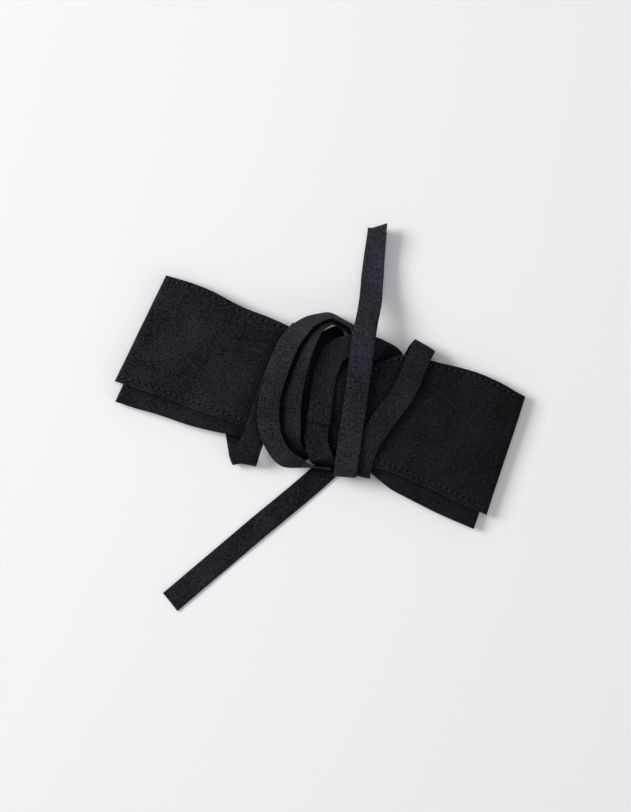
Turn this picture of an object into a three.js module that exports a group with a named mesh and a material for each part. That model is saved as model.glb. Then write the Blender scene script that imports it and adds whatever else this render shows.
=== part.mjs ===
// A soft suede tie belt, folded flat in four layers, with its two ties wound round the middle.
// Millimetres. It lies on the ground plane z = 0 and is drawn as seen from above: +X right, +Y up the picture.
import * as THREE from "three";

const BAND_THICKNESS = 1.6;
const TIE_THICKNESS = 1.2;
const TIE_WIDTH = 15;
const TIE_STEP = 2;
const HALF_STEP = 0.3;
const FREE_CUT_SLANT = 2.4;

// The band's roll: its layers are numbered 0 to 3 from the ground up.
const BAND_LENGTH = 245;
const TOP_LAYER = 3;
const OUTER_FOLD_REACH = 3;
const OUTER_FOLD_STEPS = 8;
const INNER_FOLD_REACH = 1;
const INNER_FOLD_STEPS = 6;
const INNER_FOLD_INSET = 5;
const OUTER_END = 74;
const INNER_END = 146;
const ENDS_CLEARANCE = 6;
const SLIP_RUN = 90;
const RUN_STEP = 7;
const ACROSS_STEPS = 8;
const CURL_START = 0.6;

// Stations along the folded band, and where its upper and lower edges lie there.
const BAND_EDGES = [
  { at: 0, upperX: -95.9, upperY: 88.4, lowerX: -128, lowerY: 22.2 },
  { at: 28, upperX: -74.4, upperY: 81.6, lowerX: -98.1, lowerY: 12.2 },
  { at: 55, upperX: -49.4, upperY: 69.1, lowerX: -73.1, lowerY: 3.1 },
  { at: 84, upperX: -22.5, upperY: 58.1, lowerX: -45, lowerY: -6.6 },
  { at: 102, upperX: -6.2, upperY: 50.4, lowerX: -28, lowerY: -12 },
  { at: 105, upperX: -3.6, upperY: 49.2, lowerX: -25.2, lowerY: -12.7 },
  { at: 110, upperX: 0.7, upperY: 47.1, lowerX: -20.5, lowerY: -13.8 },
  { at: 118, upperX: 7.6, upperY: 43.8, lowerX: -13, lowerY: -15.6 },
  { at: 124, upperX: 13.3, upperY: 41.3, lowerX: -7.3, lowerY: -17.2 },
  { at: 133, upperX: 22.4, upperY: 37.4, lowerX: 1.6, lowerY: -19.8 },
  { at: 148, upperX: 36.6, upperY: 31.6, lowerX: 15.4, lowerY: -24.8 },
  { at: 153, upperX: 41.4, upperY: 35.8, lowerX: 20, lowerY: -26.6 },
  { at: 161, upperX: 50, upperY: 38.4, lowerX: 28.1, lowerY: -29.1 },
  { at: 185, upperX: 72.5, upperY: 34.1, lowerX: 50.6, lowerY: -36.6 },
  { at: 213, upperX: 100.6, upperY: 27.2, lowerX: 75.6, lowerY: -47.8 },
  { at: 245, upperX: 129.4, upperY: 12.5, lowerX: 105, lowerY: -61.9 },
];

// The same stations again: how high the stack rises off the ground, the pitch of its layers, its crown
// across and how far its upper edge curls down. The inner layers slip out below the outer one, and their
// upper edge reaches past its upper edge.
const BAND_STACK = [
  { at: 0, rise: 0, pitch: 2, crown: 0, curl: 0, slip: 12, reach: 0 },
  { at: 28, rise: 0.1, pitch: 2.5, crown: 0.8, curl: 0, slip: 11.5, reach: 0 },
  { at: 55, rise: 1.2, pitch: 2.5, crown: 2, curl: 0, slip: 11, reach: 0 },
  { at: 84, rise: 1.8, pitch: 2.2, crown: 3.2, curl: 0.4, slip: 6.5, reach: 0 },
  { at: 102, rise: 2.4, pitch: 2.2, crown: 3.6, curl: 1, slip: 3.5, reach: 0 },
  { at: 105, rise: 2.8, pitch: 2.22, crown: 3.6, curl: 1, slip: 3.2, reach: 1.7 },
  { at: 110, rise: 3.4, pitch: 2.25, crown: 3.7, curl: 1, slip: 2.7, reach: 12 },
  { at: 118, rise: 4.4, pitch: 2.3, crown: 3.8, curl: 1, slip: 2, reach: 17.2 },
  { at: 124, rise: 4.8, pitch: 2.3, crown: 3.7, curl: 1, slip: 1.6, reach: 13.2 },
  { at: 133, rise: 5.4, pitch: 2.3, crown: 3.6, curl: 1, slip: 1, reach: -3 },
  { at: 148, rise: 5.2, pitch: 2.3, crown: 3.6, curl: 1, slip: 1.2, reach: -3 },
  { at: 153, rise: 5.1, pitch: 2.3, crown: 3.4, curl: 1.2, slip: 1.6, reach: -4 },
  { at: 161, rise: 4.8, pitch: 2.3, crown: 3.3, curl: 1.4, slip: 2.6, reach: -3 },
  { at: 185, rise: 2.4, pitch: 2.5, crown: 2.6, curl: 0.5, slip: 11.5, reach: 0 },
  { at: 213, rise: 0.3, pitch: 2.5, crown: 1, curl: 0, slip: 12.5, reach: 0 },
  { at: 245, rise: 0, pitch: 2, crown: 0, curl: 0, slip: 11.5, reach: 0 },
];

// The ties are tables of stations too: the middle of the strap, the heading of its width in degrees, and how
// far that width leans up out of level. Each table is one run of the strap, in order from its free end.
const UPPER_FREE_END = [
  { x: 36.8, y: 119.4, z: 5.8, heading: -8, lean: 40 },
  { x: 34.9, y: 102, z: 5.2, heading: -5, lean: 28 },
  { x: 33.3, y: 84.7, z: 7.8, heading: -5, lean: 18 },
  { x: 31.6, y: 69, z: 13, heading: -8, lean: 6 },
];
const UPPER_TOP_PASS = [
  { x: 29.4, y: 57.2, z: 17.8, heading: -9, lean: 0 },
  { x: 27.2, y: 44.5, z: 20.3, heading: -9, lean: 0 },
  { x: 24.5, y: 22.8, z: 20.4, heading: -8, lean: 0 },
  { x: 22.2, y: 6, z: 20, heading: -9, lean: 0 },
  { x: 19.5, y: -12, z: 19.2, heading: -8, lean: 0 },
  { x: 17.8, y: -24.6, z: 18.6, heading: -4, lean: 0 },
  { x: 16.9, y: -32, z: 18, heading: 0, lean: 0 },
  { x: 16.4, y: -36.1, z: 15.4, heading: -3, lean: 0 },
  { x: 16.2, y: -37.4, z: 10.4, heading: -4, lean: 0 },
];
const UPPER_FIRST_RETURN = [
  { x: 16.3, y: -36.8, z: 4.6, heading: -5, lean: 0 },
  { x: 16.8, y: -33, z: 2.1, heading: -5, lean: 0 },
  { x: 22, y: -8.4, z: 2.1, heading: -10, lean: 0 },
  { x: 27.4, y: 16.6, z: 2.1, heading: -10, lean: 0 },
  { x: 29.8, y: 34, z: 2.2, heading: -6, lean: 2 },
];
const OUTER_LOOP = [
  { x: 28.4, y: 43.6, z: 5, heading: -20, lean: 24 },
  { x: 24.9, y: 52.1, z: 8.5, heading: -68, lean: 50 },
  { x: 19.8, y: 57, z: 9.8, heading: -125, lean: 80 },
  { x: 14.2, y: 60.2, z: 10.2, heading: -120, lean: 81 },
  { x: 7, y: 63, z: 12, heading: -85, lean: 75 },
  { x: 1.2, y: 61.9, z: 14, heading: -75, lean: 70 },
  { x: -5.6, y: 59.1, z: 16.4, heading: -66, lean: 57 },
  { x: -14.5, y: 51.4, z: 18.4, heading: -41, lean: 34 },
  { x: -25.6, y: 29.1, z: 19.8, heading: -22, lean: 20 },
  { x: -31.6, y: 5, z: 19.8, heading: -8, lean: 18 },
  { x: -29.8, y: -12, z: 19, heading: 10, lean: 22 },
  { x: -20.4, y: -26.4, z: 15.4, heading: 58, lean: 45 },
  { x: -14.6, y: -29, z: 12, heading: 78, lean: 62 },
  { x: -9.4, y: -30.1, z: 9.7, heading: 82, lean: 75 },
];
const UPPER_ROOT = [
  { x: -3.5, y: -31.3, z: 9.5, heading: 90, lean: 87 },
  { x: 3, y: -32, z: 9.4, heading: 95, lean: 93 },
  { x: 7.9, y: -32.3, z: 9.4, heading: 96, lean: 95 },
];

const LOWER_FREE_END = [
  { x: -93.6, y: -116.6, z: 0.6, heading: 130, lean: 0 },
  { x: -44.7, y: -75.1, z: 0.6, heading: 130, lean: 0 },
  { x: 4.2, y: -33.8, z: 0.6, heading: 131, lean: 0 },
];
const LOWER_FIRST_RETURN = [
  { x: 20, y: -19, z: 0.6, heading: 136, lean: 0 },
  { x: 42, y: 8, z: 0.6, heading: 142, lean: 0 },
  { x: 58, y: 31, z: 0.8, heading: 147, lean: 0 },
  { x: 63, y: 41, z: 3.6, heading: 148, lean: 0 },
  { x: 66.4, y: 44.6, z: 8, heading: 148, lean: 0 },
];
const DIAGONAL_PASS = [
  { x: 64.4, y: 41, z: 12.6, heading: 148, lean: 0 },
  { x: 61, y: 34, z: 15.2, heading: 148, lean: 0 },
  { x: 53.5, y: 16.6, z: 17.8, heading: 147, lean: 0 },
  { x: 41, y: -0.9, z: 18.3, heading: 147, lean: 0 },
  { x: 34.2, y: -10.8, z: 17.4, heading: 148, lean: 0 },
  { x: 27.4, y: -24, z: 15.8, heading: 156, lean: 0 },
  { x: 25.6, y: -32.6, z: 13.6, heading: 164, lean: 0 },
  { x: 25.2, y: -36.8, z: 9.4, heading: 167, lean: 0 },
];
const LOWER_SECOND_RETURN = [
  { x: 25, y: -36.2, z: 4.8, heading: 167, lean: 4 },
  { x: 26, y: -32, z: 3.4, heading: 166, lean: 6 },
  { x: 30, y: -20, z: 3.7, heading: 162, lean: 0 },
  { x: 35.2, y: -6, z: 3.7, heading: 160, lean: 0 },
  { x: 42.4, y: 9, z: 3.5, heading: 163, lean: 0 },
  { x: 46.6, y: 22, z: 2.1, heading: 172, lean: 0 },
  { x: 48, y: 31, z: 2.4, heading: 192, lean: 0 },
];
const SEAM_PASS = [
  { x: 45.6, y: 36.9, z: 5, heading: 218, lean: 0 },
  { x: 39.2, y: 40.6, z: 8.8, heading: 238, lean: 0 },
  { x: 31.8, y: 43.2, z: 14.2, heading: 256, lean: 0 },
  { x: 20.4, y: 44.2, z: 17.8, heading: 276, lean: 0 },
  { x: 11, y: 40.8, z: 17.7, heading: 312, lean: 0 },
  { x: 4.9, y: 29.3, z: 17.9, heading: 338, lean: 0 },
  { x: 1.4, y: 10.3, z: 18.9, heading: 350, lean: 0 },
  { x: 0.5, y: 4, z: 19.7, heading: 352, lean: 0 },
  { x: 0, y: 0, z: 19.9, heading: 353, lean: 0 },
  { x: -0.8, y: -4.5, z: 19.9, heading: 355, lean: 0 },
];

const SEAM_ROOT = [
  { x: 0.7, y: 5.5, z: 18.1, heading: 352, lean: 0 },
  { x: -0.5, y: -2, z: 18.3, heading: 354, lean: 0 },
  { x: -1.6, y: -9, z: 18.4, heading: 356, lean: 0 },
  { x: -1.9, y: -14.7, z: 18.6, heading: 358, lean: 0 },
  { x: -1, y: -19.7, z: 18.5, heading: 364, lean: 0 },
  { x: 0.9, y: -24.4, z: 17.6, heading: 370, lean: 0 },
  { x: 3.2, y: -28, z: 14, heading: 360, lean: 0 },
  { x: 4.6, y: -29.6, z: 10, heading: 352, lean: 0 },
  { x: 5, y: -29.4, z: 6, heading: 350, lean: 0 },
];
const ROOT_RETURN = [
  { x: 5, y: -27.2, z: 3.4, heading: 350, lean: 6 },
  { x: 5.8, y: -22, z: 3, heading: 346, lean: 8 },
  { x: 9.4, y: -12, z: 3.6, heading: 341, lean: 3 },
  { x: 14.4, y: 7.2, z: 3.8, heading: 341, lean: 0 },
  { x: 21.3, y: 27.8, z: 3.8, heading: 345, lean: 0 },
];
const INNER_LOOP = [
  { x: 24.2, y: 39.4, z: 4.4, heading: 345, lean: 12 },
  { x: 21.6, y: 48, z: 8.6, heading: 300, lean: 52 },
  { x: 18, y: 54.6, z: 9.3, heading: 232, lean: 77 },
  { x: 13, y: 57.9, z: 11, heading: 240, lean: 74 },
  { x: 7.6, y: 59.9, z: 13.2, heading: 272, lean: 70 },
  { x: 0.4, y: 56.7, z: 17.4, heading: 306, lean: 60 },
  { x: -7, y: 44.2, z: 21.3, heading: 325, lean: 52 },
  { x: -14.2, y: 24, z: 21, heading: 340, lean: 34 },
  { x: -18, y: 7, z: 20, heading: 354, lean: 18 },
  { x: -18.4, y: -7, z: 19.4, heading: 369, lean: 18 },
  { x: -17.8, y: -17.2, z: 15.6, heading: 390, lean: 38 },
  { x: -13, y: -22.8, z: 10.4, heading: 425, lean: 56 },
];
const SECOND_RETURN = [
  { x: -8.2, y: -25.6, z: 8.2, heading: 412, lean: 44 },
  { x: -6.8, y: -25.8, z: 5.6, heading: 386, lean: 20 },
  { x: -8.4, y: -22.4, z: 4, heading: 372, lean: 0 },
  { x: -11, y: -13, z: 3.2, heading: 366, lean: 0 },
  { x: -10, y: 10, z: 2, heading: 364, lean: 0 },
  { x: -9, y: 40, z: 1.6, heading: 350, lean: 0 },
];
const LEFT_PASS = [
  { x: -9.4, y: 52.4, z: 2.4, heading: 338, lean: 0 },
  { x: -9.6, y: 55.1, z: 5.8, heading: 335, lean: 0 },
  { x: -9.9, y: 55.1, z: 9.6, heading: 335, lean: 0 },
  { x: -12.6, y: 52, z: 12.4, heading: 335, lean: 0 },
  { x: -20, y: 40, z: 14.4, heading: 335, lean: 0 },
  { x: -29, y: 20, z: 15.6, heading: 338, lean: 0 },
  { x: -37.4, y: -4, z: 14.2, heading: 342, lean: 0 },
  { x: -43.4, y: -20, z: 11.6, heading: 346, lean: 0 },
  { x: -45.6, y: -27.4, z: 8.2, heading: 350, lean: 0 },
  { x: -46.4, y: -29.8, z: 4.8, heading: 352, lean: 0 },
];
const ROOT_END = [
  { x: -48.2, y: -26.6, z: 2, heading: 356, lean: 0 },
  { x: -50.6, y: -16, z: 0.8, heading: 362, lean: 0 },
  { x: -52.5, y: 8, z: 0.6, heading: 366, lean: 0 },
  { x: -54, y: 22, z: 0.6, heading: 366, lean: 0 },
];

const UPPER_TIE = [
  ...UPPER_FREE_END,
  ...UPPER_TOP_PASS,
  ...UPPER_FIRST_RETURN,
  ...OUTER_LOOP,
  ...UPPER_ROOT,
];
const LOWER_TIE = [
  ...LOWER_FREE_END,
  ...LOWER_FIRST_RETURN,
  ...DIAGONAL_PASS,
  ...LOWER_SECOND_RETURN,
  ...SEAM_PASS,
];
const LOWER_TIE_ROOT = [
  ...SEAM_ROOT,
  ...ROOT_RETURN,
  ...INNER_LOOP,
  ...SECOND_RETURN,
  ...LEFT_PASS,
  ...ROOT_END,
];

// Columns that never run past a row where they turn, so no strap sinks into what it lies on.
const HEIGHTS = ["z", "rise", "pitch", "crown", "curl", "slip", "reach"];

// A smooth curve through one column of a table, read at a place between its rows.
function through(rows, column, at) {
  const last = rows.length - 1;
  let i = 0;
  while (i < last - 1 && at > rows[i + 1].at) i += 1;
  const rise = (k) => (rows[k + 1][column] - rows[k][column]) / (rows[k + 1].at - rows[k].at);
  const slope = (k) => {
    if (k === 0) return rise(0);
    if (k === last) return rise(last - 1);
    if (HEIGHTS.includes(column)) {
      if (rise(k - 1) * rise(k) <= 0) return 0;
      return (2 * rise(k - 1) * rise(k)) / (rise(k - 1) + rise(k));
    }
    const before = rows[k].at - rows[k - 1].at;
    const after = rows[k + 1].at - rows[k].at;
    return (rise(k - 1) * after + rise(k) * before) / (before + after);
  };
  const length = rows[i + 1].at - rows[i].at;
  const t = Math.min(Math.max((at - rows[i].at) / length, 0), 1);
  const start = (1 + 2 * t) * (1 - t) ** 2;
  const end = t * t * (3 - 2 * t);
  const leaving = t * (1 - t) ** 2 * length;
  const arriving = t * t * (t - 1) * length;
  return rows[i][column] * start + rows[i + 1][column] * end + slope(i) * leaving + slope(i + 1) * arriving;
}

function ease(t) {
  const x = Math.min(Math.max(t, 0), 1);
  return x * x * (3 - 2 * x);
}

// One closed body between two matching grids of points: faces above, below, along both edges and at both ends.
function slab(above, below) {
  const rows = above.length;
  const columns = above[0].length;
  const points = [...above.flat(), ...below.flat()];
  const index = [];
  const upper = (r, c) => r * columns + c;
  const lower = (r, c) => rows * columns + r * columns + c;
  const quad = (a, b, c, d) => index.push(a, b, c, a, c, d);
  for (let r = 0; r < rows - 1; r += 1) {
    for (let c = 0; c < columns - 1; c += 1) {
      quad(upper(r, c), upper(r + 1, c), upper(r + 1, c + 1), upper(r, c + 1));
      quad(lower(r, c), lower(r, c + 1), lower(r + 1, c + 1), lower(r + 1, c));
    }
    quad(upper(r, 0), lower(r, 0), lower(r + 1, 0), upper(r + 1, 0));
    const c = columns - 1;
    quad(upper(r, c), upper(r + 1, c), lower(r + 1, c), lower(r, c));
  }
  const end = rows - 1;
  for (let c = 0; c < columns - 1; c += 1) {
    quad(upper(0, c), upper(0, c + 1), lower(0, c + 1), lower(0, c));
    quad(upper(end, c), lower(end, c), lower(end, c + 1), upper(end, c + 1));
  }
  const geometry = new THREE.BufferGeometry().setFromPoints(points);
  geometry.setIndex(index);
  geometry.computeVertexNormals();
  return geometry;
}

// Where the folded stack lies at a place along it and across it (-1 at its lower edge, 1 at its upper one),
// `level` layers up from the ground. `inner` is 1 for an inner layer and 0 for the outer one.
function stackPoint(at, across, level, inner) {
  const edge = (column) => through(BAND_EDGES, column, at);
  const value = (column) => through(BAND_STACK, column, at);
  const lower = new THREE.Vector2(edge("lowerX"), edge("lowerY"));
  const upper = new THREE.Vector2(edge("upperX"), edge("upperY"));
  const half = upper.distanceTo(lower) / 2;
  const side = upper.clone().sub(lower).normalize();
  const middle = upper.clone().add(lower).multiplyScalar(0.5);
  const t = across + ((value("reach") * (across + 1)) / 2 - value("slip")) * (inner / half);
  const crown = value("crown");
  const curl = value("curl");
  const curlSpan = 1 - CURL_START;
  const curled = (t - CURL_START) / curlSpan;
  const top = value("rise") + BAND_THICKNESS / 2 + TOP_LAYER * value("pitch");
  const height = top + crown * (1 - t * t) - curl * ease(curled);
  const curlSlope = curled > 0 && curled < 1 ? (curl * 6 * curled * (1 - curled)) / curlSpan : 0;
  const slope = (-2 * crown * t - curlSlope) / half;
  const depth = (TOP_LAYER - level) * value("pitch");
  const normal = new THREE.Vector2(-slope, 1).normalize();
  const place = middle.addScaledVector(side, t * half - depth * normal.x);
  return new THREE.Vector3(place.x, place.y, height - depth * normal.y);
}

// The band's strip, followed from its outer end to its inner end, as stations in the flat roll.
function bandPath() {
  const stations = [];
  const leftFold = OUTER_FOLD_REACH + BAND_THICKNESS / 2;
  const rightFold = BAND_LENGTH - leftFold;
  const leftInner = INNER_FOLD_INSET + INNER_FOLD_REACH + BAND_THICKNESS / 2;
  const rightInner = BAND_LENGTH - leftInner;
  const run = (from, to, level, inner) => {
    const steps = Math.round(Math.abs(to - from) / RUN_STEP);
    for (let i = 0; i <= steps; i += 1) {
      const at = from + ((to - from) * i) / steps;
      stations.push({ at, level: level(at), inner: inner(at) });
    }
  };
  const fold = (centre, reach, from, to, inner, steps) => {
    for (let i = 1; i < steps; i += 1) {
      const angle = (Math.PI * i) / steps;
      const level = (from + to) / 2 + ((from - to) / 2) * Math.cos(angle);
      stations.push({ at: centre + reach * Math.sin(angle), level, inner });
    }
  };
  const none = () => 0;
  const full = () => 1;
  const slipped = (at) => ease((BAND_LENGTH - at) / SLIP_RUN);
  const settleStart = INNER_END - ENDS_CLEARANCE;
  const settleEnd = OUTER_END + ENDS_CLEARANCE;
  const settled = (at) => ease((settleStart - at) / (settleStart - settleEnd));
  run(OUTER_END, leftFold, none, none);
  fold(leftFold, -OUTER_FOLD_REACH, 0, TOP_LAYER, 0, OUTER_FOLD_STEPS);
  run(leftFold, rightFold, () => TOP_LAYER, none);
  fold(rightFold, OUTER_FOLD_REACH, TOP_LAYER, 0, 0, OUTER_FOLD_STEPS);
  run(rightFold, leftInner, settled, slipped);
  fold(leftInner, -INNER_FOLD_REACH, 1, 2, 1, INNER_FOLD_STEPS);
  run(leftInner, rightInner, () => 2, full);
  fold(rightInner, INNER_FOLD_REACH, 2, 1, 1, INNER_FOLD_STEPS);
  run(rightInner, INNER_END, full, full);
  return stations;
}

// The band is that path given its width and, square to the path, its thickness.
function bandGeometry() {
  const path = bandPath();
  const above = [];
  const below = [];
  path.forEach((station, i) => {
    const before = path[Math.max(i - 1, 0)];
    const after = path[Math.min(i + 1, path.length - 1)];
    const pitch = through(BAND_STACK, "pitch", station.at);
    const travel = new THREE.Vector2(after.at - before.at, (after.level - before.level) * pitch).normalize();
    const shift = BAND_THICKNESS / 2;
    const front = [];
    const back = [];
    for (let k = 0; k <= ACROSS_STEPS; k += 1) {
      const across = -1 + (2 * k) / ACROSS_STEPS;
      const point = (sign) =>
        stackPoint(
          station.at - sign * shift * travel.y,
          across,
          station.level + (sign * shift * travel.x) / pitch,
          station.inner,
        );
      front.push(point(1));
      back.push(point(-1));
    }
    above.push(front);
    below.push(back);
  });
  return slab(above, below);
}

// A strap laid through its stations, its ends cut square or at a slant.
function tieGeometry(stations, slant) {
  const rows = stations.map((row) => {
    const heading = THREE.MathUtils.degToRad(row.heading);
    const lean = THREE.MathUtils.degToRad(row.lean);
    return {
      ...row,
      wx: Math.cos(heading) * Math.cos(lean),
      wy: Math.sin(heading) * Math.cos(lean),
      wz: Math.sin(lean),
    };
  });
  rows.forEach((row, i) => {
    const before = rows[Math.max(i - 1, 0)];
    row.at = i === 0 ? 0 : before.at + Math.hypot(row.x - before.x, row.y - before.y, row.z - before.z);
  });
  const length = rows[rows.length - 1].at;
  const steps = Math.round(length / TIE_STEP);
  const vector = (columns, at) => new THREE.Vector3(...columns.map((column) => through(rows, column, at)));
  const above = [];
  const below = [];
  for (let i = 0; i <= steps; i += 1) {
    const at = (length * i) / steps;
    const middle = vector(["x", "y", "z"], at);
    const ahead = vector(["x", "y", "z"], Math.min(at + HALF_STEP, length));
    const behind = vector(["x", "y", "z"], Math.max(at - HALF_STEP, 0));
    const travel = ahead.sub(behind).normalize();
    const width = vector(["wx", "wy", "wz"], at);
    width.addScaledVector(travel, -width.dot(travel)).normalize();
    const face = travel.clone().cross(width);
    const corner = (side, sign) => {
      const point = middle.clone().addScaledVector(width, (side * TIE_WIDTH) / 2);
      if (i === 0) point.addScaledVector(travel, -side * slant);
      return point.addScaledVector(face, (sign * TIE_THICKNESS) / 2);
    };
    above.push([corner(-1, 1), corner(1, 1)]);
    below.push([corner(-1, -1), corner(1, -1)]);
  }
  return slab(above, below);
}

function leather(name, geometry, colour) {
  const material = new THREE.MeshStandardMaterial({ color: colour, roughness: 0.95, metalness: 0 });
  const mesh = new THREE.Mesh(geometry, material);
  mesh.name = name;
  return mesh;
}

const BLACK_SUEDE = 0x1c1b22;
const belt = new THREE.Group();
belt.add(leather("band", bandGeometry(), BLACK_SUEDE));
belt.add(leather("upper_tie", tieGeometry(UPPER_TIE, FREE_CUT_SLANT), BLACK_SUEDE));
belt.add(leather("lower_tie", tieGeometry(LOWER_TIE, 0), BLACK_SUEDE));
belt.add(leather("lower_tie_root", tieGeometry(LOWER_TIE_ROOT, 0), BLACK_SUEDE));

export default belt;
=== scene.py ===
# %% [markdown]
# # A suede tie belt, folded flat and wound with its own ties
# The belt is one wide strip of soft suede, folded into a flat roll, and two narrow ties wound round the
# middle of it. The CAD model already holds each strip of leather as a thin solid in its real place. This
# lesson dresses those solids: it rounds their cut edges, gives them a napped suede surface, sews the
# thread along the band and across the lap seam, and sets up a plain studio that looks straight down.

import math

import bpy
from mathutils import Matrix, Vector


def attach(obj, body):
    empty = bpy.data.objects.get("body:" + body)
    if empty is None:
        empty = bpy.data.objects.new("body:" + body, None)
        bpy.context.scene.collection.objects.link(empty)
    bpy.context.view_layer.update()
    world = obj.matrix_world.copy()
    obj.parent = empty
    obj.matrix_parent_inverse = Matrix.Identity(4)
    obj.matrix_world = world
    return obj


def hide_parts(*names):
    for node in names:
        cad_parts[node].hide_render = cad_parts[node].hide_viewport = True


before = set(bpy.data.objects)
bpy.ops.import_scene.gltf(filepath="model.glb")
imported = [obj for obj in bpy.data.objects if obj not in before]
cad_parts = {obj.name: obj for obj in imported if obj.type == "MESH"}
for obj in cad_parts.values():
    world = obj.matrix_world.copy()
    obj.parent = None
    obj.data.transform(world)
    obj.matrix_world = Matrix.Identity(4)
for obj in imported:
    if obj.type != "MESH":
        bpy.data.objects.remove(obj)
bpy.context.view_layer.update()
MM = 0.001

# %% [markdown]
# ## Colours
# Colours are written as sRGB hex values, as a picker shows them. Blender's shaders want linear light,
# so one function turns each value into the number that a shader needs. The sRGB scale is a straight line
# for the darkest values and a power curve above them.


# %% Turn hex colours to linear light
TOE_END = 0.04045
TOE_SLOPE = 12.92
CURVE_OFFSET = 0.055
CURVE_POWER = 2.4


def linear(hex_colour):
    channels = []
    for start in (0, 2, 4):
        value = int(hex_colour[start : start + 2], 16) / 255
        if value <= TOE_END:
            channels.append(value / TOE_SLOPE)
        else:
            channels.append(((value + CURVE_OFFSET) / (1 + CURVE_OFFSET)) ** CURVE_POWER)
    return (*channels, 1.0)


# %% [markdown]
# ## The camera
# The belt lies on a table and is seen from straight above. A long lens, far away, keeps the sides of the
# folded band parallel, as a catalogue photographer would want them. The distance is worked out from the
# real length of table that has to fill the height of the frame.

# %% Place the camera straight above
FRAME_HEIGHT = 507.5 * MM
FRAME_CENTRE = Vector((-2.2 * MM, 6.6 * MM, 0))
LENS = 150
SENSOR = 36
EYE_LEVEL = 8 * MM
FARTHEST_VIEW = 20

camera_data = bpy.data.cameras.new("overhead_camera")
camera_data.lens = LENS
camera_data.sensor_width = SENSOR
camera_data.clip_end = FARTHEST_VIEW
camera = bpy.data.objects.new("overhead_camera", camera_data)
bpy.context.scene.collection.objects.link(camera)
distance = (FRAME_HEIGHT / 2) / ((SENSOR / 2) / LENS)
camera.location = FRAME_CENTRE + Vector((0, 0, distance + EYE_LEVEL))
bpy.context.scene.camera = camera
print("camera height", round(distance + EYE_LEVEL, 3), "m")

# %% [markdown]
# ## The table
# The table is a sheet of matt white card, much larger than the frame, so its edge never shows. It is
# part of the stage and not of the belt, and it lies a hair below the leather. All the materials of this
# lesson start from one small helper, which makes a material and sets its surface shader.

# %% Lay the white card
CARD_SIZE = 6
CARD_GAP = 0.05 * MM
CARD_SURFACE = {
    "Base Color": linear("f3f1f2"),
    "Roughness": 0.9,
    "Specular IOR Level": 0.1,
}


def new_material(name, surface):
    material = bpy.data.materials.new(name)
    material.use_nodes = True
    shader = material.node_tree.nodes["Principled BSDF"]
    for key, value in surface.items():
        shader.inputs[key].default_value = value
    return material


bpy.ops.object.select_all(action="DESELECT")
bpy.ops.mesh.primitive_plane_add(size=CARD_SIZE, location=(0, 0, -CARD_GAP))
card = bpy.context.active_object
card.name = "card"
bpy.ops.object.transform_apply(location=True, rotation=True, scale=True)
card.data.materials.append(new_material("matt_white_card", CARD_SURFACE))
print("card", CARD_SIZE, "m wide")

# %% [markdown]
# ## The light
# Suede drinks light, so the picture needs one broad lamp on the left, like a window, which rakes over the
# nap and throws a soft shadow to the right. A weak lamp overhead brightens the faces that look up, and a
# weaker one from the lower right stands for the light that the room throws back. An even white sky fills
# the shadows until they are pale.

# %% Set the lamps and the sky
LAMPS = [
    {"name": "window", "at": (-2.4, 0.9, 1.8), "size": 1.4, "watts": 90},
    {"name": "ceiling", "at": (0.3, 0.2, 2.8), "size": 2.0, "watts": 14},
    {"name": "bounce", "at": (1.7, -1.1, 1.3), "size": 1.2, "watts": 7},
]
SKY_WHITE = "f7f7fd"
SKY_STRENGTH = 0.29

for lamp in LAMPS:
    light_data = bpy.data.lights.new(lamp["name"], "AREA")
    light_data.size = lamp["size"]
    light_data.energy = lamp["watts"]
    light = bpy.data.objects.new(lamp["name"], light_data)
    bpy.context.scene.collection.objects.link(light)
    light.location = lamp["at"]
    light.rotation_euler = (-Vector(lamp["at"])).to_track_quat("-Z", "Y").to_euler()
world = bpy.data.worlds.new("white_sky")
world.use_nodes = True
world.node_tree.nodes["Background"].inputs["Color"].default_value = linear(SKY_WHITE)
world.node_tree.nodes["Background"].inputs["Strength"].default_value = SKY_STRENGTH
bpy.context.scene.world = world
bpy.context.scene.view_settings.view_transform = "Standard"
print("lamps", [lamp["name"] for lamp in LAMPS])

# %% [markdown]
# ## The suede
# Split suede is the inner layer of a hide, dyed right through and buffed until its fibres stand up as a
# nap. It has no shine of its own. The fibres catch light at a glancing angle, which a sheen imitates, and
# wherever a hand has stroked them they lie another way, which leaves soft lighter and darker patches. So
# three sizes of noise are mixed: the stroked patches, about 30 mm wide, the streaks between them, and the
# grain of the fibre bundles. Real fibres are thinner than a pixel, so the grain is drawn about 1.1 mm
# coarse, where it still shows. The colour is also scaled evenly from left to right, as painted light and
# shade: it darkens where the band's right half slopes away from the window lamp, and the upper tie runs
# the other way, lighter towards its free end, which faces the lamp. An ambient occlusion node measures
# how open each spot is and darkens the colour where another layer lies close, as painted shade in the
# creases. The ties are a little lighter than the band, the upper one most of all. A Mix node has sockets
# for numbers, vectors and colours side by side, so the three colour sockets are picked by their place in
# the list.


# %% A helper that adds one node with its settings and links
# A setting that names or numbers an input fills that input, and any other setting is one of the node's own.
def add_node(material, kind, settings=None, links=None):
    node = material.node_tree.nodes.new(kind)
    for key, value in (settings or {}).items():
        if isinstance(key, int) or key in node.inputs:
            node.inputs[key].default_value = value
        else:
            setattr(node, key, value)
    for key, socket in (links or {}).items():
        material.node_tree.links.new(socket, node.inputs[key])
    return node


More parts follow.
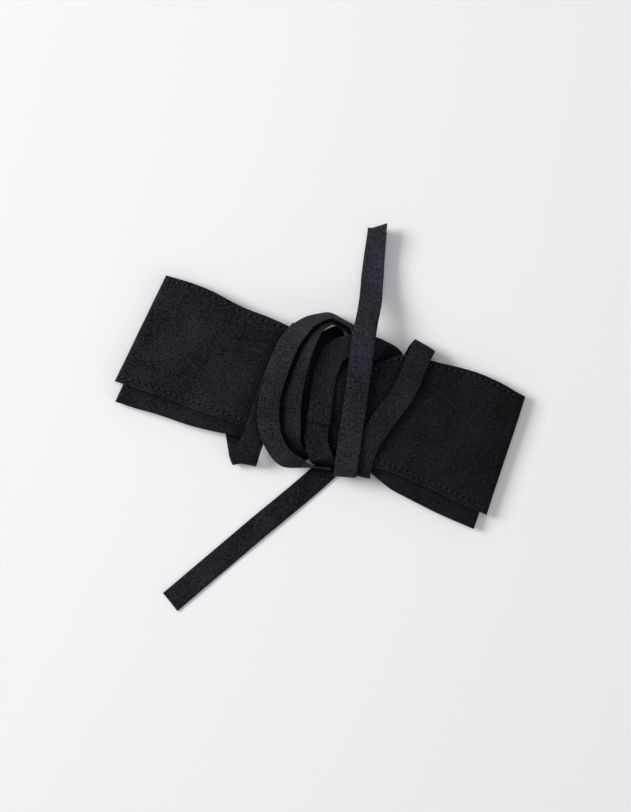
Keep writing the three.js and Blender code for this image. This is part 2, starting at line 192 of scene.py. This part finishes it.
# %% Make the suede and its cut edge
PATCH_NOISE = {"Scale": 1 / (30 * MM), "Detail": 2.0, "Roughness": 0.55}
STREAK_NOISE = {"Scale": 1 / (9 * MM), "Detail": 3.0, "Roughness": 0.6, "Distortion": 0.6}
GRAIN_NOISE = {"Scale": 1 / (1.1 * MM), "Detail": 3.0, "Roughness": 0.7}
STREAK_SHARE = 0.4
GRAIN_SHARE = 3.4
DARK_SPREAD = 0.45
LIGHT_SPREAD = 0.8
# Painted shade in the creases: how far the occlusion rays reach, how many there are, and how hard they
# darken.
PAINTED_SHADE_REACH = 8 * MM
PAINTED_SHADE_RAYS = 8
PAINTED_SHADE_DEPTH = 1.8
# Painted light and shade across the roll: the colour is scaled from left to right between these x
# positions.
SHADE_RAMP_START = -130 * MM
SHADE_RAMP_END = 130 * MM
NAP_BUMP = {"Strength": 0.8, "Distance": 0.6 * MM}
FIRST_COLOUR = 6
SECOND_COLOUR = 7
MIXED_COLOUR = 2
SUEDE_DARK = "020203"
TIE_DARK = "070709"
SUEDE_SURFACE = {
    "Roughness": 0.95,
    "Specular IOR Level": 0.12,
    "Sheen Roughness": 0.45,
    "Sheen Tint": linear("8c8a9c"),
}


def make_suede(name, dark, light, sheen, left, right):
    suede = new_material(name, {**SUEDE_SURFACE, "Sheen Weight": sheen})
    shader = suede.node_tree.nodes["Principled BSDF"]
    place = add_node(suede, "ShaderNodeTexCoord").outputs["Object"]
    patches = add_node(suede, "ShaderNodeTexNoise", PATCH_NOISE, {"Vector": place}).outputs["Fac"]
    streaks = add_node(suede, "ShaderNodeTexNoise", STREAK_NOISE, {"Vector": place}).outputs["Fac"]
    grain = add_node(suede, "ShaderNodeTexNoise", GRAIN_NOISE, {"Vector": place}).outputs["Fac"]
    broad = add_node(
        suede,
        "ShaderNodeMath",
        {"operation": "MULTIPLY_ADD", 1: STREAK_SHARE},
        {0: streaks, 2: patches},
    ).outputs[0]
    nap = add_node(
        suede,
        "ShaderNodeMath",
        {"operation": "MULTIPLY_ADD", 1: GRAIN_SHARE},
        {0: grain, 2: broad},
    ).outputs[0]
    middle = (1 + STREAK_SHARE + GRAIN_SHARE) / 2
    spread = add_node(
        suede,
        "ShaderNodeMapRange",
        {"From Min": middle - DARK_SPREAD, "From Max": middle + LIGHT_SPREAD},
        {"Value": nap},
    ).outputs["Result"]
    colour = add_node(
        suede,
        "ShaderNodeMix",
        {"data_type": "RGBA", FIRST_COLOUR: linear(dark), SECOND_COLOUR: linear(light)},
        {0: spread},
    ).outputs[MIXED_COLOUR]
    # Painted light and shade: the colour is scaled by left at the left end of the roll and by right at its
    # right end.
    across = add_node(suede, "ShaderNodeSeparateXYZ", {}, {0: place}).outputs["X"]
    painted_side_light = add_node(
        suede,
        "ShaderNodeMapRange",
        {"From Min": SHADE_RAMP_START, "From Max": SHADE_RAMP_END, "To Min": left, "To Max": right},
        {"Value": across},
    ).outputs["Result"]
    # Painted shade: ambient occlusion darkens the colour where another layer lies close, standing in for
    # the shadow in a crease.
    openness = add_node(
        suede,
        "ShaderNodeAmbientOcclusion",
        {"samples": PAINTED_SHADE_RAYS, "Distance": PAINTED_SHADE_REACH},
    ).outputs["AO"]
    painted_crease_shade = add_node(
        suede,
        "ShaderNodeMath",
        {"operation": "POWER", 1: PAINTED_SHADE_DEPTH},
        {0: openness},
    ).outputs[0]
    shade = add_node(suede, "ShaderNodeMath", {"operation": "MULTIPLY"}, {0: painted_side_light, 1: painted_crease_shade}).outputs[0]
    painted_shading = add_node(
        suede,
        "ShaderNodeVectorMath",
        {"operation": "SCALE"},
        {0: colour, "Scale": shade},
    ).outputs[0]
    suede.node_tree.links.new(painted_shading, shader.inputs["Base Color"])
    bump = add_node(suede, "ShaderNodeBump", NAP_BUMP, {"Height": grain}).outputs["Normal"]
    suede.node_tree.links.new(bump, shader.inputs["Normal"])
    return suede


# left and right are painted light and shade: darker where the band slopes away from the window lamp,
# lighter on the upper tie's free end, which faces it.
band_suede = make_suede(
    "split_suede_black", dark=SUEDE_DARK, light="2f2e36", sheen=0.06, left=1.12, right=0.56
)
# The ties are drawn a little lighter than the band, the upper one most of all.
lower_suede = make_suede(
    "split_suede_lower_tie", dark=TIE_DARK, light="34333c", sheen=0.07, left=0.98, right=0.74
)
upper_suede = make_suede(
    "split_suede_upper_tie", dark=TIE_DARK, light="3f3e48", sheen=0.10, left=0.68, right=1.08
)
# Cut edges are paler: a painted highlight for frayed fibres catching the light.
edge_highlight_suede = make_suede(
    "cut_edge_painted_highlight", dark="15141a", light="4e4d58", sheen=0.12, left=1.0, right=0.9
)
print("materials", [m.name for m in (band_suede, lower_suede, upper_suede, edge_highlight_suede)])

# %% [markdown]
# ## From solid to leather
# Each strip could be modelled again from nothing, but its solid already follows the folds. So each CAD
# solid is copied, its loose triangles are joined up and paired into quads, and its long cut corners are
# creased, so that a subdivision surface bends the strip smoothly through the folds and leaves them crisp.
# A bevel then rounds them a little. Its narrow faces take a paler material, a painted highlight for the
# fibres that a knife leaves standing up and frayed at a cut edge, where they catch the light.
#
# A strap also gets cuts along it, and its edges are thinned, because a narrow strip of soft leather is
# never quite flat: it is plump in the middle. A cloud pattern then lifts all the layers together by a
# fraction of a millimetre and pushes them a little to the side, so the leather lies slack, its edges run
# in faint waves, and no layer runs into the next.


# %% A helper that makes a strip of leather from its solid
SAME_POINT = 0.001 * MM
PAIR_BEND = math.radians(60)
ANY_SHAPE = math.pi
SHARP_CORNER = math.radians(62)
BEVEL_CORNER = math.radians(48)
CUT_ROUNDING = 0.42 * MM
CUT_STEPS = 2
CUT_SLOT = 1
RUNG_LENGTH = 10 * MM
RUNG_CUTS = 3
EDGE_THINNING = 0.4 * MM
SLACK_LIFT = 0.7 * MM
SLACK_WIDTH = 26 * MM
SLACK_DETAIL = 1
WAVE_SHIFT = 1.1 * MM
SLACK_MOVES = [
    {"name": "slack_z", "direction": "Z", "middle": 0.0, "strength": SLACK_LIFT},
    {"name": "slack_x", "direction": "X", "middle": 0.5, "strength": WAVE_SHIFT},
    {"name": "slack_y", "direction": "Y", "middle": 0.5, "strength": WAVE_SHIFT},
]

slack = bpy.data.textures.new("slack", "CLOUDS")
slack.noise_scale = SLACK_WIDTH
slack.noise_depth = SLACK_DETAIL


def only(piece):
    bpy.ops.object.select_all(action="DESELECT")
    piece.select_set(True)
    bpy.context.view_layer.objects.active = piece


def finish_modifiers(piece):
    only(piece)
    for modifier in list(piece.modifiers):
        bpy.ops.object.modifier_apply(modifier=modifier.name)


def round_a_strap(piece):
    bpy.ops.mesh.select_all(action="DESELECT")
    bpy.ops.object.mode_set(mode="OBJECT")
    points = piece.data.vertices
    for edge in piece.data.edges:
        start, end = (points[k].co for k in edge.vertices)
        edge.select = (end - start).length > RUNG_LENGTH
    bpy.ops.object.mode_set(mode="EDIT")
    bpy.ops.mesh.subdivide(number_cuts=RUNG_CUTS)
    bpy.ops.mesh.select_all(action="DESELECT")
    bpy.ops.mesh.edges_select_sharp(sharpness=SHARP_CORNER)
    bpy.ops.transform.shrink_fatten(value=-EDGE_THINNING)


def leather_strip(node_name, piece_name, suede, levels, strap=True):
    piece = bpy.data.objects.new(piece_name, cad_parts[node_name].data.copy())
    bpy.context.scene.collection.objects.link(piece)
    only(piece)
    bpy.ops.object.mode_set(mode="EDIT")
    bpy.ops.mesh.select_all(action="SELECT")
    bpy.ops.mesh.remove_doubles(threshold=SAME_POINT)
    bpy.ops.mesh.tris_convert_to_quads(face_threshold=PAIR_BEND, shape_threshold=ANY_SHAPE)
    bpy.ops.mesh.select_mode(type="EDGE")
    if strap:
        round_a_strap(piece)
    bpy.ops.mesh.select_all(action="DESELECT")
    bpy.ops.mesh.edges_select_sharp(sharpness=SHARP_CORNER)
    bpy.ops.transform.edge_crease(value=1)
    bpy.ops.object.mode_set(mode="OBJECT")
    piece.data.materials.clear()
    piece.data.materials.append(suede)
    piece.data.materials.append(edge_highlight_suede)
    smoothing = piece.modifiers.new("soft_folds", "SUBSURF")
    smoothing.levels = levels
    smoothing.render_levels = levels
    rounding = piece.modifiers.new("rounded_cut", "BEVEL")
    rounding.limit_method = "ANGLE"
    rounding.angle_limit = BEVEL_CORNER
    rounding.width = CUT_ROUNDING
    rounding.segments = CUT_STEPS
    rounding.material = CUT_SLOT
    rounding.harden_normals = True
    for move in SLACK_MOVES:
        shift = piece.modifiers.new(move["name"], "DISPLACE")
        shift.texture = slack
        shift.texture_coords = "GLOBAL"
        shift.direction = move["direction"]
        shift.mid_level = move["middle"]
        shift.strength = move["strength"]
    only(piece)
    bpy.ops.object.shade_smooth()
    finish_modifiers(piece)
    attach(piece, "root")
    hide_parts(node_name)
    print(piece_name, "faces", len(piece.data.polygons))
    return piece


# %% [markdown]
# ## The band
# The band is the wide part that goes round the waist: one strip, sewn along both long edges and folded
# in four layers with two soft folds at each end.

# %% Dress the band
band = leather_strip("band", "folded_band", band_suede, levels=2, strap=False)

# %% [markdown]
# ## The ties
# A tie is a narrow strip cut from the same hide. Straps like these are too narrow for a cloth simulation
# to help, so they keep the routes that were worked out for them by hand.

# %% Dress the ties
upper_tie = leather_strip("upper_tie", "upper_tie_strap", upper_suede, levels=1)
lower_tie = leather_strip("lower_tie", "lower_tie_strap", lower_suede, levels=1)
lower_tie_root = leather_strip("lower_tie_root", "lower_tie_root_strap", lower_suede, levels=1)

# %% [markdown]
# ## The thread
# The band is topstitched along both long edges. From above, a machine stitch is a row of short beads of
# thread, each pulled down into a needle hole at both ends. One bead is modelled, and the hole is a thin
# near-black disc, painted shade for the shadow down in it. Both are then copied along the edge: a ray
# dropped on the band finds how high the leather is and which way it faces.

# %% Model one bead of thread and one needle hole
BEAD_LENGTH = 2.3 * MM
BEAD_WIDTH = 0.6 * MM
BEAD_SIDES = 8
BEAD_RINGS = 5
UNIT_RADIUS = 0.5
HOLE_WIDTH = 1.15 * MM
HOLE_DEPTH = 0.12 * MM
THREAD_SURFACE = {
    "Base Color": linear("212027"),
    "Roughness": 0.42,
}
# Painted shade: the needle hole is a near-black disc standing for the shadow inside it.
HOLE_SHADE_SURFACE = {
    "Base Color": linear("050507"),
    "Roughness": 1.0,
    "Specular IOR Level": 0.0,
}

thread_wax = new_material("waxed_polyester_thread", THREAD_SURFACE)
painted_hole_shade = new_material("needle_hole_shadow", HOLE_SHADE_SURFACE)
bpy.ops.object.select_all(action="DESELECT")
bpy.ops.mesh.primitive_uv_sphere_add(segments=BEAD_SIDES, ring_count=BEAD_RINGS, radius=UNIT_RADIUS)
bead = bpy.context.active_object
bead.rotation_euler = (0, math.pi / 2, 0)
bpy.ops.object.transform_apply(rotation=True)
bead.scale = (BEAD_LENGTH, BEAD_WIDTH, BEAD_WIDTH)
bpy.ops.object.transform_apply(scale=True)
bpy.ops.object.shade_smooth()
bead.data.materials.append(thread_wax)
bpy.ops.object.select_all(action="DESELECT")
# The hole is a flat near-black disc on the leather, painted shade for the shadow down in a needle hole.
bpy.ops.mesh.primitive_cylinder_add(vertices=BEAD_SIDES, radius=HOLE_WIDTH / 2, depth=HOLE_DEPTH)
hole = bpy.context.active_object
hole.data.materials.append(painted_hole_shade)
print("bead faces", len(bead.data.polygons), "hole faces", len(hole.data.polygons))

# %% [markdown]
# ## Where the stitches go
# A short table says where the band's two long edges lie, in millimetres, at stations along the folded
# roll. A cubic Hermite curve runs through it, and leaves each station along the line between the two
# beside it. That gives the edge at any place, and the row of stitches runs a little inside it.

# %% Follow the band's edges
BAND_EDGES = [
    {"at": 0, "upper_x": -95.9, "upper_y": 88.4, "lower_x": -128, "lower_y": 22.2},
    {"at": 28, "upper_x": -74.4, "upper_y": 81.6, "lower_x": -98.1, "lower_y": 12.2},
    {"at": 55, "upper_x": -49.4, "upper_y": 69.1, "lower_x": -73.1, "lower_y": 3.1},
    {"at": 84, "upper_x": -22.5, "upper_y": 58.1, "lower_x": -45, "lower_y": -6.6},
    {"at": 102, "upper_x": -6.2, "upper_y": 50.4, "lower_x": -28, "lower_y": -12},
    {"at": 118, "upper_x": 7.6, "upper_y": 43.8, "lower_x": -13, "lower_y": -15.6},
    {"at": 133, "upper_x": 22.4, "upper_y": 37.4, "lower_x": 1.6, "lower_y": -19.8},
    {"at": 148, "upper_x": 36.6, "upper_y": 31.6, "lower_x": 15.4, "lower_y": -24.8},
    {"at": 153, "upper_x": 41.4, "upper_y": 35.8, "lower_x": 20, "lower_y": -26.6},
    {"at": 161, "upper_x": 50, "upper_y": 38.4, "lower_x": 28.1, "lower_y": -29.1},
    {"at": 185, "upper_x": 72.5, "upper_y": 34.1, "lower_x": 50.6, "lower_y": -36.6},
    {"at": 213, "upper_x": 100.6, "upper_y": 27.2, "lower_x": 75.6, "lower_y": -47.8},
    {"at": 245, "upper_x": 129.4, "upper_y": 12.5, "lower_x": 105, "lower_y": -61.9},
]
LAST_EDGE = len(BAND_EDGES) - 1


def edge_slope(column, k):
    low = max(k - 1, 0)
    high = min(k + 1, LAST_EDGE)
    rise = BAND_EDGES[high][column] - BAND_EDGES[low][column]
    return rise / (BAND_EDGES[high]["at"] - BAND_EDGES[low]["at"])


def along_edge(column, at):
    k = 0
    while k < LAST_EDGE - 1 and at > BAND_EDGES[k + 1]["at"]:
        k += 1
    start, end = BAND_EDGES[k], BAND_EDGES[k + 1]
    run = end["at"] - start["at"]
    t = (at - start["at"]) / run
    blend = t * t * (3 - 2 * t)
    level = start[column] * (1 - blend) + end[column] * blend
    leaving = edge_slope(column, k) * t * (1 - t) ** 2 * run
    arriving = edge_slope(column, k + 1) * t * t * (t - 1) * run
    return level + leaving + arriving


def stitch_point(at, edge, inset):
    upper = Vector((along_edge("upper_x", at), along_edge("upper_y", at), 0))
    lower = Vector((along_edge("lower_x", at), along_edge("lower_y", at), 0))
    inward = (lower - upper).normalized() * inset
    return (upper + inward if edge == "upper" else lower - inward) * MM


# %% [markdown]
# ## Sew
# A stitch is laid along its row and flat on the leather, half sunk into it. A row goes on the top of the
# roll, where the rays fall down, or on its underside, where they rise. All the copies are joined into one
# piece. Each copy's place is written into its mesh, so the piece itself stays at the origin.

# %% Copy the stitches along a row
RAY_START = 60 * MM


def on_leather(leather, point, down):
    start = Vector((point.x, point.y, RAY_START if down else -RAY_START))
    hit, place, facing, _ = leather.ray_cast(start, Vector((0, 0, -1 if down else 1)))
    return (place, facing) if hit else None


def lay(template, place, facing, travel):
    copy = template.copy()
    copy.data = template.data.copy()
    bpy.context.scene.collection.objects.link(copy)
    side = facing.cross(travel).normalized()
    ahead = side.cross(facing).normalized()
    turn = Matrix((ahead, side, facing)).transposed().to_4x4()
    copy.data.transform(Matrix.Translation(place) @ turn)
    return copy


def sew(leather, points, down):
    laid = []
    for here, after in zip(points[:-1], points[1:]):
        middle = (here + after) / 2
        bead_spot = on_leather(leather, middle, down)
        hole_spot = on_leather(leather, here, down)
        travel = (after - here).normalized()
        if bead_spot:
            laid.append(lay(bead, *bead_spot, travel))
        if hole_spot:
            laid.append(lay(hole, *hole_spot, travel))
    return laid


def join_stitches(laid, name):
    bpy.ops.object.select_all(action="DESELECT")
    for stitch in laid:
        stitch.select_set(True)
    bpy.context.view_layer.objects.active = laid[0]
    bpy.ops.object.join()
    row = bpy.context.active_object
    row.name = name
    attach(row, "root")
    print(name, "stitches", len(laid) // 2, "faces", len(row.data.polygons))
    return row


# %% Sew both edges of the band, above and below
STITCH_LENGTH = 3.9
LOWER_INSET = 3.9
UPPER_INSET = 2.6
ROWS = [
    {"edge": "lower", "inset": LOWER_INSET, "start": 1.5, "end": 243, "down": True},
    {"edge": "upper", "inset": UPPER_INSET, "start": 1.5, "end": 243, "down": True},
    {"edge": "lower", "inset": LOWER_INSET, "start": 3, "end": 73, "down": False},
    {"edge": "upper", "inset": UPPER_INSET, "start": 3, "end": 73, "down": False},
    {"edge": "lower", "inset": LOWER_INSET, "start": 150, "end": 242, "down": False},
    {"edge": "upper", "inset": UPPER_INSET, "start": 150, "end": 242, "down": False},
]

bpy.context.view_layer.update()
laid = []
for row in ROWS:
    count = int((row["end"] - row["start"]) / STITCH_LENGTH)
    places = [row["start"] + k * STITCH_LENGTH for k in range(count + 1)]
    points = [stitch_point(at, row["edge"], row["inset"]) for at in places]
    laid += sew(band, points, row["down"])
band_thread = join_stitches(laid, "band_topstitch")

# %% [markdown]
# ## The lap seam
# The lower tie is not one strip. A second one is lapped under its end and sewn with two short rows of
# stitches across, because a hide is seldom long enough for the whole tie.

# %% Sew the lap seam
SEAM_ROWS = [
    {"left_x": -7.4, "left_y": 4.3, "right_x": 7.2, "right_y": 2.6},
    {"left_x": -7.9, "left_y": -1.2, "right_x": 6.6, "right_y": -2.9},
]
SEAM_STITCHES = 4

laid = []
for row in SEAM_ROWS:
    left = Vector((row["left_x"], row["left_y"], 0)) * MM
    right = Vector((row["right_x"], row["right_y"], 0)) * MM
    points = [left.lerp(right, (k + 0.5) / (SEAM_STITCHES + 1)) for k in range(SEAM_STITCHES + 1)]
    laid += sew(lower_tie, points, True)
seam_thread = join_stitches(laid, "lap_seam_stitches")
for template in (bead, hole):
    bpy.data.objects.remove(template)

# %% [markdown]
# ## The soft sheets
# All four strips are soft sheets, cut to size before they were folded or wound.

print("sheets declared:", band.name, upper_tie.name, lower_tie.name, lower_tie_root.name)
